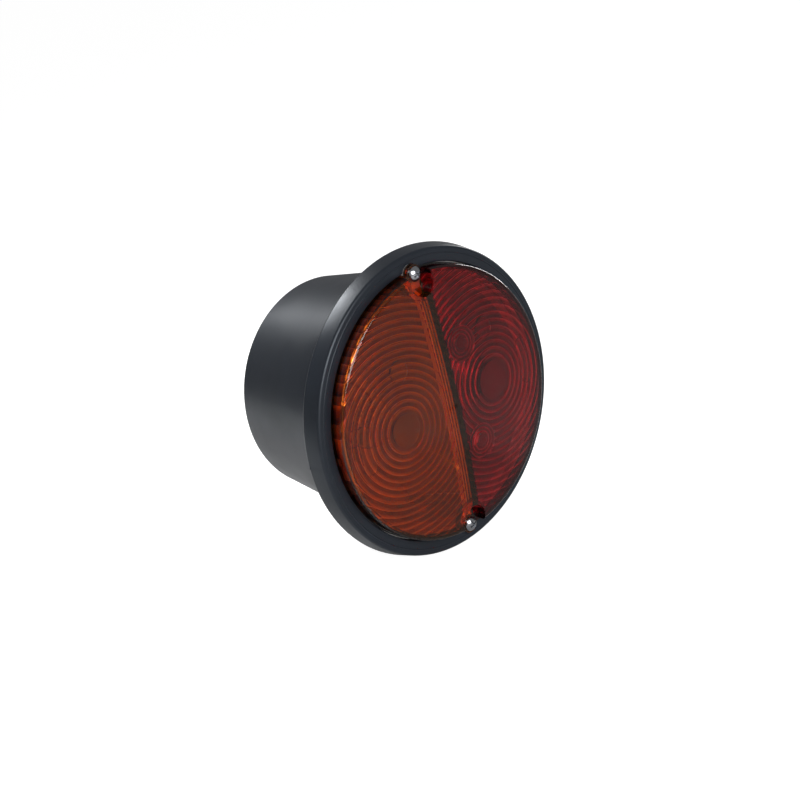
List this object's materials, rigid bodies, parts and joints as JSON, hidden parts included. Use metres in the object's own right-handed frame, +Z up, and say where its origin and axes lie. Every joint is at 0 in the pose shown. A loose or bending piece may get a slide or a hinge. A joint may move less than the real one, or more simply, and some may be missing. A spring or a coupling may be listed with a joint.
{
  "type": "tail light cluster",
  "caption": "Round rear lamp: tapered rubber housing with a thick rim, ringed lens half amber and half red, bulbs in bayonet holders inside, fixing studs and a cable nipple behind.",
  "frame": {"origin": "centre of the housing's flat back face, where the lamp seats on its panel or bracket", "axes": "-Y is the way the lens faces, +Y points into the panel, +Z is up along the joint between amber and red, +X is to the right as seen from in front (the red side)"},
  "size_m": [0.1526, 0.1128, 0.1526],
  "materials": {
    "rubber": "smooth moulded black rubber, soft sheen",
    "foam_rubber": "closed-cell foam",
    "black_plastic": "black moulding",
    "white_plastic": "white sheet",
    "amber_acrylic": "clear amber lens plastic, polished outside, ringed inside",
    "red_acrylic": "clear red lens plastic, polished outside, ringed inside",
    "screw_zinc": "bright zinc plate",
    "plated_steel": "zinc-plated steel",
    "brass": "plain brass",
    "cap_brass": "bulb cap brass",
    "clear_glass": "clear bulb glass",
    "filament_wire": "bare wire",
    "board_laminate": "brown laminate board"
  },
  "bodies": {
    "root": {"rubber_housing": "rubber", "backing_plate": "plated_steel", "left_fixing_stud": "plated_steel", "right_fixing_stud": "plated_steel", "lamp_base": "black_plastic", "light_divider": "white_plastic", "lens_gasket": "foam_rubber", "amber_lens_half": "amber_acrylic", "red_lens_half": "red_acrylic", "top_lens_screw": "screw_zinc", "bottom_lens_screw": "screw_zinc", "top_screw_insert": "brass", "bottom_screw_insert": "brass", "indicator_holder": "plated_steel", "stop_holder": "plated_steel", "upper_tail_holder": "plated_steel", "lower_tail_holder": "plated_steel", "indicator_bulb_glass": "clear_glass", "stop_bulb_glass": "clear_glass", "upper_tail_bulb_glass": "clear_glass", "lower_tail_bulb_glass": "clear_glass", "indicator_bulb_cap": "cap_brass", "stop_bulb_cap": "cap_brass", "upper_tail_bulb_cap": "cap_brass", "lower_tail_bulb_cap": "cap_brass", "indicator_filament": "filament_wire", "stop_filament": "filament_wire", "upper_tail_filament": "filament_wire", "lower_tail_filament": "filament_wire", "indicator_contact": "brass", "stop_contact": "brass", "upper_tail_contact": "brass", "lower_tail_contact": "brass", "earth_plate": "plated_steel", "terminal_board": "board_laminate", "board_screws": "plated_steel"}
  },
  "joints": []
}
